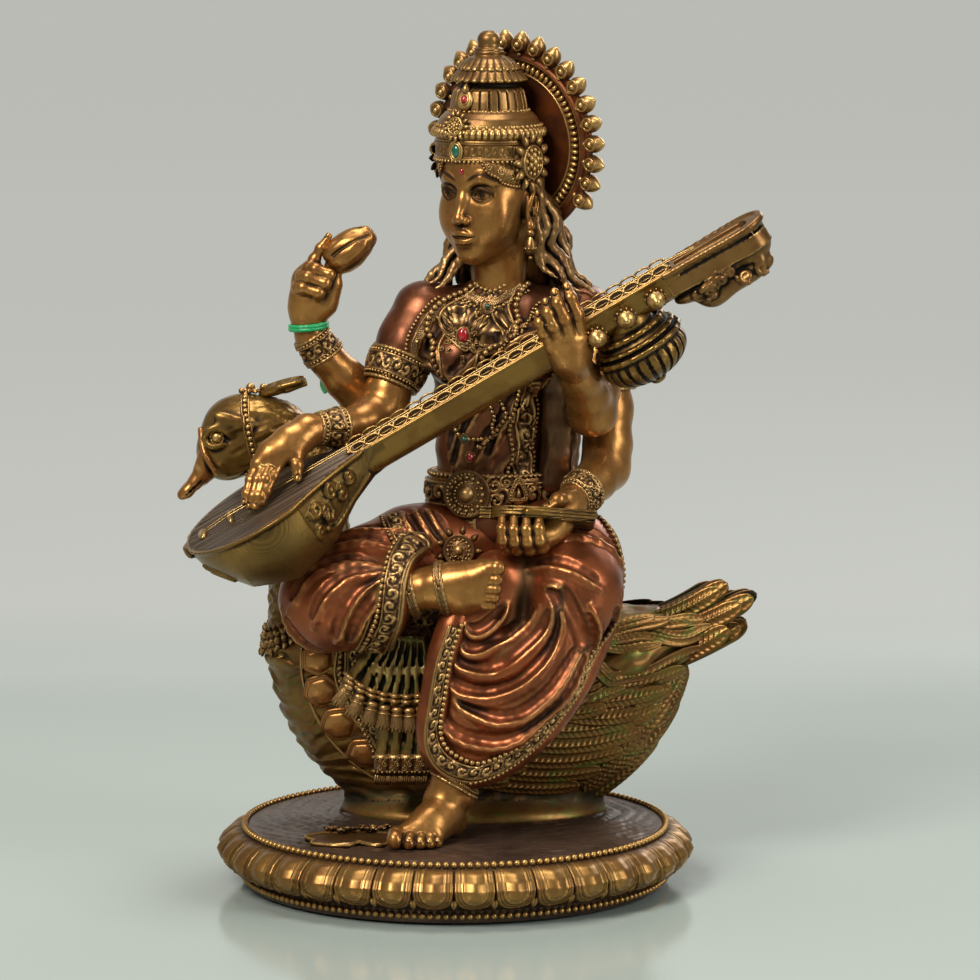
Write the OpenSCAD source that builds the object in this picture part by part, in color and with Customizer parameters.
// Seated four-armed goddess on a swan, holding a veena, on a round lotus plinth.
// Cast resin sections, each its own solid. Millimetres, +Z up, origin at the centre of the underside.

/* [Plinth] */
// Radius of the plinth's core
plinth_r = 62; // [60:0.5:64]
// Height of the plinth's water surface
plinth_top = 17; // [16:0.5:18]
// Number of lotus petals round the plinth
petal_count = 36; // [24:1:44]
// Radius of the beads that edge the plinth
bead_r = 1.05; // [0.8:0.05:1.3]
// Thickness of the felt pad
felt_t = 0.8; // [0.5:0.1:1.5]

/* [Halo and crown] */
// Radius of the circle that the halo's buds stand on
halo_r = 28; // [26:0.5:30]
// Number of places for buds round the full circle
halo_places = 31; // [25:1:35]
// Number of buds left out behind the hair
halo_gap = 8; // [6:1:12]
// Turn of the head to the figure's right, in degrees
head_turn = 37; // [20:1:45]
// Radius of the crown's lowest band
crown_r = 15; // [14:0.1:15.6]

/* [Veena] */
// Length of the soundboard
board_l = 51; // [48:1:54]
// Half width of the soundboard
board_w = 22; // [20:0.5:23]
// Depth of the bowl under the soundboard
bowl_d = 24; // [22:0.5:25]
// Length of the neck and head together
neck_l = 131; // [125:1:133]
// Width of the fingerboard
neck_w = 10; // [9:0.5:11]
// Slope of the veena above level, in degrees
veena_slope = 30.4; // [28:0.2:33]
// Lean of the soundboard towards the front, in degrees
veena_lean = 10.4; // [6:0.2:14]
// Number of frets
fret_count = 22; // [16:1:26]
// Number of strings
string_count = 4; // [3:1:5]

/* [Wrist band] */
// Inner radius of the elastic band
band_r = 4.9; // [4.8:0.1:5.4]
// Radius of the elastic band's cord
band_t = 0.7; // [0.5:0.05:0.9]

/* [Hidden] */
soft_fn = 12;
tip_fn = 10;
gold = [0.62, 0.44, 0.16];
old_gold = [0.45, 0.31, 0.12];
copper = [0.55, 0.22, 0.13];
brown = [0.28, 0.18, 0.1];
feather = [0.36, 0.33, 0.12];

// Centres of the figure's joints, and of what it holds
pelvis = [11, 13, 97];
waist = [10.5, 13, 121];
chest = [11, 12, 146];
neck_base = [12.5, 11, 166];
skull = [9.7, 8, 192.3];
head_size = [1.22, 1.1, 1.25];
shoulder_r = [-9, 13, 159];
elbow_rf = [-19, 4, 133];
wrist_rf = [-37, -12, 130];
palm_rf = [-46, -20, 124];
elbow_rr = [-24, 13, 134];
wrist_rr = [-41, 8, 154];
palm_rr = [-41, 6, 165];
bud_c = [-29.5, 6, 178];
shoulder_l = [36, 13, 158];
elbow_lu = [38, 0, 132];
palm_lu = [30, -23, 153];
elbow_ll = [43, 5, 117];
wrist_ll = [33, -9, 110];
palm_ll = [26, -17, 104];
hip_r = [2, 12, 93];
knee_r = [-38, -9, 82];
ankle_r = [-6, -21, 86];
hip_l = [22, 12, 94];
knee_l = [34, -17, 82];
ankle_l = [-1.5, -22, 33];
veena_at = [-30, -18, 123];
// Centre of the soundboard's round end: its radius of 22, and 1 past the neck's root
board_c = 22 + 1 - board_l;
halo_c = [17, 21, 206];
crown_c = [9.4, 10, 202.2];

// A joint centre with the limb's radius there
function at(p, r) = [p[0], p[1], p[2], r];

// A closed run of tapering round limbs through points of [x, y, z, radius]
module chain(points, fn = soft_fn) {
    for (i = [0 : len(points) - 2])
        hull() for (p = [points[i], points[i + 1]])
            translate([p[0], p[1], p[2]]) sphere(r = p[3], $fn = fn);
}

// An ellipsoid at a place, turned
module blob(at, radii, turn = [0, 0, 0], fn = soft_fn) {
    translate(at) rotate(turn) scale(radii) sphere(r = 1, $fn = fn);
}

// One cast section: its overlapping lumps joined as a single closed mesh. The resize changes no size.
module cast() {
    resize([0, 0, 0]) children();
}

// Places its children in the veena's own axes: +X along the neck, +Z out of the soundboard
module veena_frame() {
    translate(veena_at) rotate([0, -veena_slope, 0]) rotate([veena_lean, 0, 0]) children();
}

// Places its children in the head's axes: -Y is where the face looks
module head_frame() {
    translate(skull) rotate([0, 0, -head_turn]) children();
}

module felt_pad() {
    color("black") cylinder(r = plinth_r - 5, h = felt_t, $fn = 96);
}

module base_plinth() {
    color(brown) rotate_extrude($fn = 96) polygon([
        [0, felt_t], [plinth_r - 4, felt_t], [plinth_r - 3, 1.6], [plinth_r - 3, 4], [plinth_r - 1.5, 5.5],
        [plinth_r, 8], [plinth_r, 12], [plinth_r - 1.5, 15], [plinth_r - 2, plinth_top - 0.4],
        [plinth_r - 4.4, plinth_top - 0.4], [plinth_r - 6, plinth_top], [0, plinth_top]
    ]);
}

module base_petals() {
    color(gold) for (i = [0 : petal_count - 1])
        rotate([0, 0, i * 360 / petal_count]) translate([plinth_r, 0, 10]) rotate([0, -14, 0])
            scale([4.2, 5.1, 6.2]) sphere(r = 1, $fn = 24);
}

module base_bead_rings() {
    color(gold) {
        translate([0, 0, plinth_top + 0.2]) rotate_extrude($fn = 96)
            translate([plinth_r - 2.6, 0]) circle(r = bead_r, $fn = 24);
        translate([0, 0, 2.7]) rotate_extrude($fn = 96)
            translate([plinth_r - 2.6, 0]) circle(r = bead_r, $fn = 24);
    }
}

module base_lotus_leaf() {
    color(old_gold) {
        translate([-28, -24, plinth_top - 0.3]) scale([12, 8, 1]) cylinder(r = 1, h = 1.1, $fn = 32);
        for (p = [[-32, -19], [-27, -17], [-23, -20], [-37, -22]])
            translate([p[0], p[1], plinth_top + 1.2]) sphere(r = 1.7, $fn = 16);
    }
}

module swan_body() {
    color(old_gold) cast() {
        hull() {
            blob([4, 23, 20], [35, 17, 5]);
            blob([2, 22, 42], [45, 24, 14]);
        }
        hull() {
            blob([2, 22, 42], [45, 24, 14]);
            blob([-4, 20, 62], [46, 24, 14]);
            blob([30, 21, 60], [30, 20, 12]);
        }
        hull() {
            blob([10, 20, 66], [36, 20, 12]);
            blob([2, 14, 76], [30, 17, 8]);
        }
        hull() {
            blob([30, 21, 52], [24, 19, 14]);
            blob([56, 20, 60], [12, 13, 8]);
        }
    }
}

module swan_neck() {
    color(feather) cast() {
        chain([[-38, 17, 66, 15], [-40, 20, 82, 11.5], [-35, 21, 98, 9.5], [-31, 19, 112, 8.5],
            [-35, 14, 122, 8], [-46, 10, 127, 8.5], [-57, 8, 125, 10.5]]);
        chain([[-57, 8, 125, 10.5], [-62, 7, 121, 8.6]]);
    }
}

module swan_beak() {
    color(copper) cast() {
        chain([[-65, 6, 119, 6], [-70, 4, 112.5, 4], [-75, 3, 108.5, 2.6]]);
    }
}

module swan_eyes() {
    color(gold) for (s = [-1, 1]) translate([-64, 6.5 + s * 8.2, 124.5]) sphere(r = 1.7, $fn = 16);
}

module swan_bridle() {
    color(gold) {
        translate([-49, 9.5, 126]) rotate([0, 80, 0]) rotate_extrude($fn = 48)
            translate([9.8, 0]) circle(r = 0.8, $fn = 16);
        translate([-50.5, 9.5, 136]) sphere(r = 2, $fn = 16);
    }
}

module swan_crest() {
    color(old_gold) cast() hull() {
        blob([-46, 10, 135.5], [5, 4, 1.6], [0, -18, 0]);
        blob([-40, 11, 138], [2, 3.2, 1.4], [0, -18, 0]);
    }
}

// A folded wing along one side of the swan: side is -1 for the front, 1 for the back
module swan_wing(side) {
    y0 = 22 + side * 22;
    color(feather) cast() {
        hull() {
            blob([8, y0, 62], [14, 5, 14]);
            blob([34, y0, 46], [18, 5, 14]);
        }
        hull() {
            blob([34, y0, 50], [18, 5, 14]);
            blob([60, y0 - side * 6, 62], [10, 4, 7]);
        }
        hull() {
            blob([52, y0 - side * 5, 64], [10, 4, 6]);
            blob([74, y0 - side * 11, 75], [6, 2.5, 3]);
        }
    }
}

module swan_tail() {
    color(feather) cast() for (i = [-2 : 2])
        hull() {
            blob([52, 21 + i * 3.5, 62], [8, 3.4, 3]);
            blob([80 - abs(i) * 2.2, 21 + i * 4.6, 76 - abs(i) * 2.5], [3, 2.6, 1.8]);
        }
}

// Domed plates down the breast, from the saddle cloth to the water
module swan_breast_plates() {
    plates = [
        [-38, 1, 62, 4.6], [-37.5, 1, 52.5, 4.4], [-33.5, 1, 43, 4.2], [-26.5, 1.5, 34.5, 4.2],
        [-18, 2, 28.5, 4.2]
    ];
    color(gold) for (p = plates)
        translate([p[0], p[1], p[2]]) scale([p[3], 3, p[3] * 0.95]) sphere(r = 1, $fn = 24);
}

module swan_saddle_cloth() {
    color(old_gold) cast() {
        hull() {
            blob([-16, 2, 72], [24, 8, 6]);
            blob([-18, 0, 56], [15, 5, 8]);
        }
        hull() {
            blob([-18, 0, 56], [15, 5, 8]);
            blob([-10, -1, 34], [9, 4, 7]);
        }
        hull() {
            blob([2, 16, 80], [32, 22, 6]);
            blob([0, 18, 72], [38, 26, 4]);
        }
    }
}

module swan_collar() {
    color(gold) cast()
        chain([[-47, 2, 71, 3.4], [-52.5, 10, 66, 3.6], [-53, 20, 64, 3.4], [-50, 30, 68, 3.2]]);
}

module torso() {
    color(copper) cast() {
        hull() {
            blob(pelvis, [20, 14, 11]);
            blob(waist, [16.4, 11, 8]);
        }
        hull() {
            blob(waist, [16.4, 11, 8]);
            blob(chest, [20, 12.5, 12]);
        }
        hull() {
            blob(chest, [20, 12.5, 12]);
            blob([13.5, 12.5, 157], [24, 8.5, 6]);
        }
        hull() {
            blob([13.5, 12.5, 159], [16, 7.5, 5]);
            blob([12.5, 11, 166], [7, 6.5, 4]);
        }
        blob([1, 2, 147], [8.6, 8, 8.6]);
        blob([20, 1.5, 148], [9, 8, 8.8]);
    }
}

module skirt_right() {
    color(copper) cast() {
        chain([at(hip_r, 13.5), [-22, 1, 89, 12], at(knee_r, 10.5)]);
        chain([at(knee_r, 10.5), [-26, -16, 80, 10], [-16, -19, 83, 8]]);
        hull() {
            blob([-30, -10, 74], [13, 9, 6]);
            blob([-14, -10, 80], [10, 8, 6]);
        }
    }
}

module skirt_left() {
    color(copper) cast() {
        chain([at(hip_l, 14), [31, -6, 90, 13], at(knee_l, 12)]);
        hull() {
            blob([knee_l[0], knee_l[1], knee_l[2] - 2], [11.5, 10.5, 10]);
            blob([19, -18, 64], [20, 10, 12]);
        }
        hull() {
            blob([19, -18, 64], [20, 10, 12]);
            blob([9, -20, 46], [14, 9, 11]);
        }
    }
}

module skirt_right_border() {
    color(gold) cast() chain([
        [-13, -13, 98, 2.6], [-16, -23, 93, 2.6], [-18, -27.5, 85, 2.6], [-20, -26, 77, 2.6],
        [-23, -20, 72, 2.4]
    ]);
}

module skirt_left_border() {
    color(gold) cast() chain([
        [0, -24, 76, 2], [-4, -27, 64, 2.2], [-5.5, -28.5, 50, 2.4], [-3, -29.5, 40, 2.6],
        [5, -30, 35.5, 2.8],
        [15, -28, 37, 2.8], [25, -25, 45, 2.4], [34, -22, 58, 2.2], [41, -19, 70, 2.2]
    ]);
}

module front_pleats() {
    color(feather) cast() for (i = [0 : 4])
        hull() {
            blob([-12 + i * 1.5, -12, 72], [2, 3, 3]);
            blob([-25 + i * 5, -9, 51], [2.6, 2.4, 2]);
        }
    color(feather) cast() for (i = [0 : 2])
        hull() {
            blob([-14 + i * 4, -8, 51], [2.2, 2.4, 3]);
            blob([-15 + i * 4.6, -6, 33], [2.2, 2.4, 3]);
        }
}

module shawl() {
    color(old_gold) cast() {
        chain([[30, 4, 162, 3.4], [25, -2, 148, 3.2], [26, 2, 132, 3.6], [26, 2, 112, 3.6]]);
        chain([[34, 22, 160, 5], [32, 26, 140, 5], [30, 27, 115, 5], [28, 27, 92, 5]]);
    }
}

module belt() {
    color(old_gold) cast() {
        hull() {
            blob([10.5, 13, 112], [18, 12.4, 2]);
            blob([10.5, 13, 106], [18.6, 13.2, 2]);
        }
        blob([1.5, 1.6, 109.5], [6.4, 2, 6.6], [0, 0, -14]);
        blob([1.2, -2, 95], [5.4, 2.4, 5.4], [0, 0, -14]);
    }
}

module foot_right() {
    color(gold) cast() {
        chain([[-12, -20, 85, 6], at(ankle_r, 5), [3, -23, 86.5, 5.2], [9, -24.5, 86.5, 5.2]]);
        for (i = [0 : 4])
            blob([12.2 - i * 0.3, -25.2, 91.5 - i * 2.5], [2.6, 2.8, 1.6 - i * 0.12]);
    }
}

module foot_left() {
    color(gold) cast() {
        chain([at(ankle_l + [2, 1, 6], 6.4), at(ankle_l - [0, 0, 1], 5.8), [-2, -21, 23, 5.8]]);
        hull() {
            blob([-3, -21, 23.5], [5.8, 5.5, 6.2]);
            blob([-9.5, -32.5, 20], [8.4, 5.5, 2.8]);
        }
        for (i = [0 : 4])
            blob([-16.6 + i * 3.6, -37 + i * 0.7, 19.2], [2 - i * 0.12, 3.2, 2]);
    }
}

module anklets() {
    color(gold) {
        translate(ankle_l - [0.3, 0.4, 2]) rotate([14, -8, 0])
            rotate_extrude($fn = 48) translate([6.6, 0]) circle(r = 0.9, $fn = 16);
        for (x = [-12, -4]) translate([x, -20.8, 86]) rotate([0, 86, -12])
            rotate_extrude($fn = 48) translate([6, 0]) circle(r = 0.8, $fn = 16);
    }
}

module arm_right_front() {
    color(gold) cast()
        chain([
            at(shoulder_r, 8.4), [-15, 8, 146, 7.2], at(elbow_rf, 6), [-27, -3, 131.5, 5.6], at(wrist_rf, 4.2)
        ]);
}

module arm_right_rear() {
    color(gold) cast() chain([
        at(shoulder_r + [0, 4, -4], 6.5), [-16, 17, 144, 6.4], at(elbow_rr, 6), [-32, 11, 142, 5.6],
        at(wrist_rr, 4.1)
    ]);
}

module arm_left_upper() {
    color(gold) cast()
        chain([
            at(shoulder_l, 8.2), [41, 8, 146, 7], at(elbow_lu, 6.4), [35, -10, 141, 5.6], [31.5, -18, 147, 4.6]
        ]);
}

module arm_left_lower() {
    color(gold) cast() chain([
        at(shoulder_l + [1, 3, -6], 6.6), [42, 13, 138, 6.8], at(elbow_ll, 6.4), [39, -2, 113, 5.6],
        at(wrist_ll, 4.3)
    ]);
}

module hand_right_front() {
    color(gold) cast() {
        chain([at(wrist_rf, 4.1), at(palm_rf, 4.8), [-49, -22, 119, 4.4]]);
        for (i = [0 : 3])
            chain([
                [-50 + i * 1.6, -21 - i * 0.9, 118, 1.7], [-54.5 + i * 2.2, -23 - i * 0.8, 111 - i * 0.4, 1.3]
            ], tip_fn);
        chain([[-43.5, -22, 121, 2.2], [-42, -24, 114.5, 1.6]], tip_fn);
    }
}

module hand_right_rear() {
    color(gold) cast() {
        chain([at(wrist_rr, 4.1), at(palm_rr, 5), [-40, 5.5, 170, 4.4]]);
        for (i = [0 : 2])
            chain([[-40.5 + i * 0.6, 3, 171 - i * 2.8, 1.7], [-34, 1.6, 170 - i * 2.6, 1.6]], tip_fn);
        chain([[-39, 6, 172, 1.8], [-36.5, 6.5, 181.5, 1.2]], tip_fn);
        chain([[-36, 7, 163, 2.4], [-33, 6, 171, 1.8]], tip_fn);
    }
}

module hand_left_upper() {
    color(gold) cast() {
        chain([[31.5, -18, 147, 4.6], at(palm_lu + [1, 1, -2], 5.2), [29, -24.5, 157, 5]]);
        for (i = [0 : 3])
            chain([[33.5 - i * 3, -25.5, 158 - i * 0.6, 1.9], [32 - i * 3.1, -25, 167 - i * 2.1, 1.6]], tip_fn);
        chain([[34, -21, 156, 2.2], [37, -16, 161, 1.7]], tip_fn);
    }
}

module hand_left_lower() {
    color(gold) cast() {
        chain([at(wrist_ll, 4.3), at(palm_ll, 4.6), [21, -18, 102.5, 4]]);
        for (i = [0 : 3]) chain([[27 - i * 3, -21.5, 101.5, 1.8], [27 - i * 3, -23.5, 105.5, 1.6]], tip_fn);
        chain([[30, -14, 109, 2], [25, -18, 110.5, 1.7]], tip_fn);
    }
}

module armlets() {
    color(gold) {
        translate([-16.5, 6.5, 143]) rotate([17, -14, 0])
            cylinder(r1 = 7.5, r2 = 8.3, h = 8, center = true, $fn = 48);
        translate([41, 9, 145]) rotate([20, 6, 0]) cylinder(r1 = 7.6, r2 = 8, h = 9, center = true, $fn = 48);
    }
}

module bracelets() {
    color(gold) {
        translate([-34, -9.4, 130.6]) rotate([0, -83, 42])
            cylinder(r1 = 5.3, r2 = 5.9, h = 7, center = true, $fn = 48);
        translate([-38.7, 8.8, 150.6]) rotate([6, -31, 0])
            cylinder(r1 = 5.4, r2 = 4.9, h = 6.4, center = true, $fn = 48);
        translate([34.5, -7, 111]) rotate([0, 66, 52]) cylinder(r = 5.4, h = 5, center = true, $fn = 48);
    }
}

module head() {
    color(gold) cast() {
        chain([at(neck_base - [0, 0, 2], 7.6), [11, 10, 178, 7]]);
        head_frame() scale(head_size) {
            hull() {
                blob([0, 1, 3], [11, 12.4, 12]);
                blob([0, -1.5, -6], [9.4, 9.6, 8]);
                blob([0, -7.5, -12.5], [3.4, 3.6, 2.8]);
            }
            hull() {
                blob([0, -11, 2], [1, 1, 1]);
                blob([0, -13, -4], [1.7, 1.7, 1.4]);
            }
            for (s = [-1, 1]) blob([s * 10.6, 1, -3], [1.4, 2.6, 4], [0, 0, s * 20]);
        }
    }
}

module hair() {
    color(old_gold) cast() {
        head_frame() hull() {
            blob([0, 3.4, 2], [13.4, 11, 12]);
            blob([0, 7, -10], [11, 6.5, 9]);
        }
        chain([[23, 15, 186, 5], [26.5, 15, 175, 4.4], [29, 12, 165, 4], [34, 10, 161, 2.6]]);
        chain([[3, 16, 182, 4.6], [-2, 14, 172, 3.6], [-7, 11, 165, 2.6]]);
        hull() {
            blob([15, 22, 178], [13, 4.5, 9]);
            blob([15, 24, 150], [13, 3.6, 8]);
        }
        hull() {
            blob([15, 24, 150], [13, 3.6, 8]);
            blob([14, 25, 128], [7, 3, 8]);
        }
    }
}

module earrings() {
    color(gold) head_frame() for (s = [-1, 1]) {
        translate([s * 13.6, 1, -8.8]) sphere(r = 1.2, $fn = 16);
        translate([s * 13.6, 1, -9.8]) mirror([0, 0, 1]) cylinder(r1 = 0.6, r2 = 1.5, h = 3.4, $fn = 24);
    }
}

// Places its children in the crown's axes: -Y is where the face looks, Z up from the forehead
module crown_frame() {
    translate(crown_c) rotate([0, 0, -head_turn]) children();
}

module crown_band() {
    color(gold) crown_frame() rotate_extrude($fn = 96) polygon([
        [0, 0], [crown_r - 0.4, 0], [crown_r, 0.8], [crown_r, 5], [crown_r + 0.4, 5.6], [crown_r + 0.6, 7.4],
        [crown_r + 0.2, 8.8], [crown_r - 1, 9.2], [crown_r - 1.4, 10.6], [crown_r - 4, 13], [0, 13]
    ]);
}

module crown_tiers() {
    color(gold) crown_frame() translate([0, 0, 12.6]) rotate_extrude($fn = 96) polygon([
        [0, 0], [10.6, 0], [10, 3], [9.4, 6.8], [8, 7.2], [7.8, 8.4], [10.2, 8.8], [10.2, 10.2], [8.4, 12.6],
        [7.6, 13], [7, 14.6], [4.2, 16.4], [4.2, 17.6], [3, 18.2], [3.2, 19.8], [3, 21.4], [1.6, 22.4], [0, 22.6]
    ]);
}

module crown_rosettes() {
    color(gold) crown_frame() {
        for (s = [-1, 1])
            translate([s * 13.4, -1, 1]) rotate([0, s * 90, 0]) cylinder(r1 = 7.6, r2 = 6.4, h = 3, $fn = 48);
        translate([0, -crown_r + 2.6, 12]) rotate([90, 0, 0]) cylinder(r1 = 4.4, r2 = 3.4, h = 3, $fn = 48);
        translate([0, -9, 17.6]) rotate([90, 0, 0]) cylinder(r1 = 2.6, r2 = 2, h = 2.4, $fn = 48);
    }
}

module halo_frame() {
    translate(halo_c) rotate([0, 0, -head_turn - 2]) rotate([4, -4, 0]) rotate([90, 0, 0]) children();
}

module halo_plate() {
    color(brown) halo_frame() rotate_extrude($fn = 96) polygon([
        [0, -1], [halo_r - 2.4, -1], [halo_r - 1.4, -0.4], [halo_r - 1.4, 1], [halo_r - 3.4, 1.8],
        [halo_r - 5.4, 1.8], [halo_r - 6.6, 0.8], [0, 0.6]
    ]);
}

module halo_buds() {
    first = -90 + (halo_gap + 1) * 180 / halo_places;
    color(gold) halo_frame() for (i = [0 : halo_places - halo_gap - 1])
        rotate([0, 0, first + i * 360 / halo_places]) translate([halo_r, 0, 0.4]) rotate([0, 90, 0])
            rotate_extrude($fn = 24)
                polygon([[0, -2.2], [1.5, -2], [2.3, -0.8], [2.3, 0.6], [1.6, 2.2], [0, 3.6]]);
}

module necklaces() {
    color(gold) cast() {
        chain([
            [4, 8, 169, 1.6], [7, 2.6, 165, 1.6], [13, 1, 163.4, 1.6], [19, 3, 165.5, 1.6], [22, 8, 170, 1.6]
        ], tip_fn);
        chain([
            [0, 7, 166, 1.3], [-4, -1, 158, 1.3], [-2, -7, 148, 1.3], [6, -7.4, 137, 1.3], [11, -5, 133, 1.3],
            [20, -7, 140, 1.3], [24, -4, 152, 1.3], [25, 6, 165, 1.3]
        ], tip_fn);
        blob([3.6, -2.4, 157], [8, 2.4, 7], [0, 0, -18]);
    }
}

module gems_red() {
    color("red") {
        translate([2.8, -4.6, 157.5]) scale([1.4, 1, 2.1]) sphere(r = 1, $fn = 20);
        translate([1.6, 0.6, 118]) scale([1.3, 1, 1.7]) sphere(r = 1, $fn = 20);
        crown_frame() translate([0, -11.4, 17.6]) sphere(r = 1, $fn = 20);
    }
}

module gems_green() {
    color("green") {
        crown_frame() translate([0, -crown_r, 3]) scale([1.1, 0.8, 1.6]) sphere(r = 1, $fn = 20);
        translate([2.6, 0.2, 122.4]) sphere(r = 1.1, $fn = 20);
        translate([7.5, -0.4, 163.2]) sphere(r = 0.9, $fn = 20);
    }
}

module veena_bowl() {
    color(gold) cast() veena_frame() difference() {
        hull() {
            blob([board_c, 0, -1], [22.6, board_w + 0.6, bowl_d], fn = 28);
            blob([-10, 0, -2], [9, 12, 13]);
            blob([2, 0, -5], [4, 5.4, 5]);
        }
        translate([-60, -40, 0]) cube([90, 80, 40]);
    }
}

module veena_soundboard() {
    color(brown) cast() veena_frame() hull() {
        translate([board_c, 0, 0.5]) scale([22, board_w, 1]) cylinder(r = 1, h = 1, center = true, $fn = 48);
        translate([-8, 0, 0.5]) scale([10, 11, 1]) cylinder(r = 1, h = 1, center = true, $fn = 32);
        translate([0, 0, 0.5]) cube([2, neck_w, 1], center = true);
    }
}

module veena_neck() {
    color(gold) veena_frame() translate([0, 0, -4.2]) {
        rotate([0, 90, 0]) difference() {
            cylinder(r = neck_w / 2, h = neck_l - 30, $fn = 48);
            translate([-neck_w, -neck_w, -1]) cube([neck_w, 2 * neck_w, neck_l]);
        }
        translate([0, -neck_w / 2, 0]) cube([neck_l - 30, neck_w, 4.2]);
    }
}

module veena_frets() {
    color(gold) veena_frame() for (i = [0 : fret_count - 1])
        translate([4 + i * (neck_l - 34) / fret_count, 0, 0.3]) rotate([90, 0, 0])
            cylinder(r = 1, h = neck_w + 1, center = true, $fn = 16);
}

module veena_strings() {
    color(gold) veena_frame() for (i = [0 : string_count - 1])
        translate([-46, (i - (string_count - 1) / 2) * 2, 1.9]) rotate([0, 90, 0])
            cylinder(r = 0.3, h = neck_l + 26, $fn = 16);
}

module veena_pegbox() {
    color(old_gold) cast() veena_frame() {
        hull() {
            blob([neck_l - 30, 0, -5], [4, 5, 5]);
            blob([neck_l - 7, 0, -4.4], [7, 5.6, 6.6]);
        }
        hull() {
            blob([neck_l - 9, 0, -10], [9, 4.6, 4.6]);
            blob([neck_l - 22, 0, -13], [6, 4, 4]);
        }
    }
    color(gold) for (i = [0 : 2])
        veena_frame() translate([neck_l - 57 + i * 8.6, -6, -5 + i * 1.1]) sphere(r = 2.8, $fn = 20);
}

module veena_gourd() {
    color(old_gold) cast() veena_frame() {
        hull() {
            blob([neck_l - 46, 2, -9], [9, 9, 3]);
            blob([neck_l - 47, 4, -18], [12.4, 12, 7.6]);
        }
    }
}

module book() {
    color(old_gold) cast() hull() {
        translate([11, -20, 105]) sphere(r = 0.8, $fn = 14);
        translate([17, -24, 106]) sphere(r = 1.2, $fn = 14);
        translate([38, -17, 106]) sphere(r = 1.4, $fn = 14);
        translate([37, -8, 109]) sphere(r = 1.4, $fn = 14);
        translate([18, -14, 108]) sphere(r = 1.2, $fn = 14);
    }
}

module lotus_bud() {
    color(gold) cast() {
        chain([
            [-35, 5, 173, 1.4], at(bud_c - [1.4, 0, 0.8], 4.9), at(bud_c + [2.4, 0, 1.6], 4.4),
            at(bud_c + [6, 0, 3.6], 1.6)
        ]);
    }
}

module wrist_band() {
    color("green") translate(wrist_rr + [-0.1, 0, 1.2]) rotate([0, -4, 0])
        rotate_extrude($fn = 64) translate([band_r, 0]) circle(r = band_t, $fn = 24);
}

felt_pad();
base_plinth();
base_petals();
base_bead_rings();
base_lotus_leaf();
swan_body();
swan_neck();
swan_beak();
swan_eyes();
swan_bridle();
swan_crest();
swan_wing(-1);  // swan_wing_left
swan_wing(1);  // swan_wing_right
swan_tail();
swan_breast_plates();
swan_saddle_cloth();
swan_collar();
torso();
skirt_right();
skirt_left();
skirt_right_border();
skirt_left_border();
front_pleats();
shawl();
belt();
foot_right();
foot_left();
anklets();
arm_right_front();
arm_right_rear();
arm_left_upper();
arm_left_lower();
hand_right_front();
hand_right_rear();
hand_left_upper();
hand_left_lower();
armlets();
bracelets();
head();
hair();
earrings();
crown_band();
crown_tiers();
crown_rosettes();
halo_plate();
halo_buds();
necklaces();
gems_red();
gems_green();
veena_bowl();
veena_soundboard();
veena_neck();
veena_frets();
veena_strings();
veena_pegbox();
veena_gourd();
book();
lotus_bud();
wrist_band();
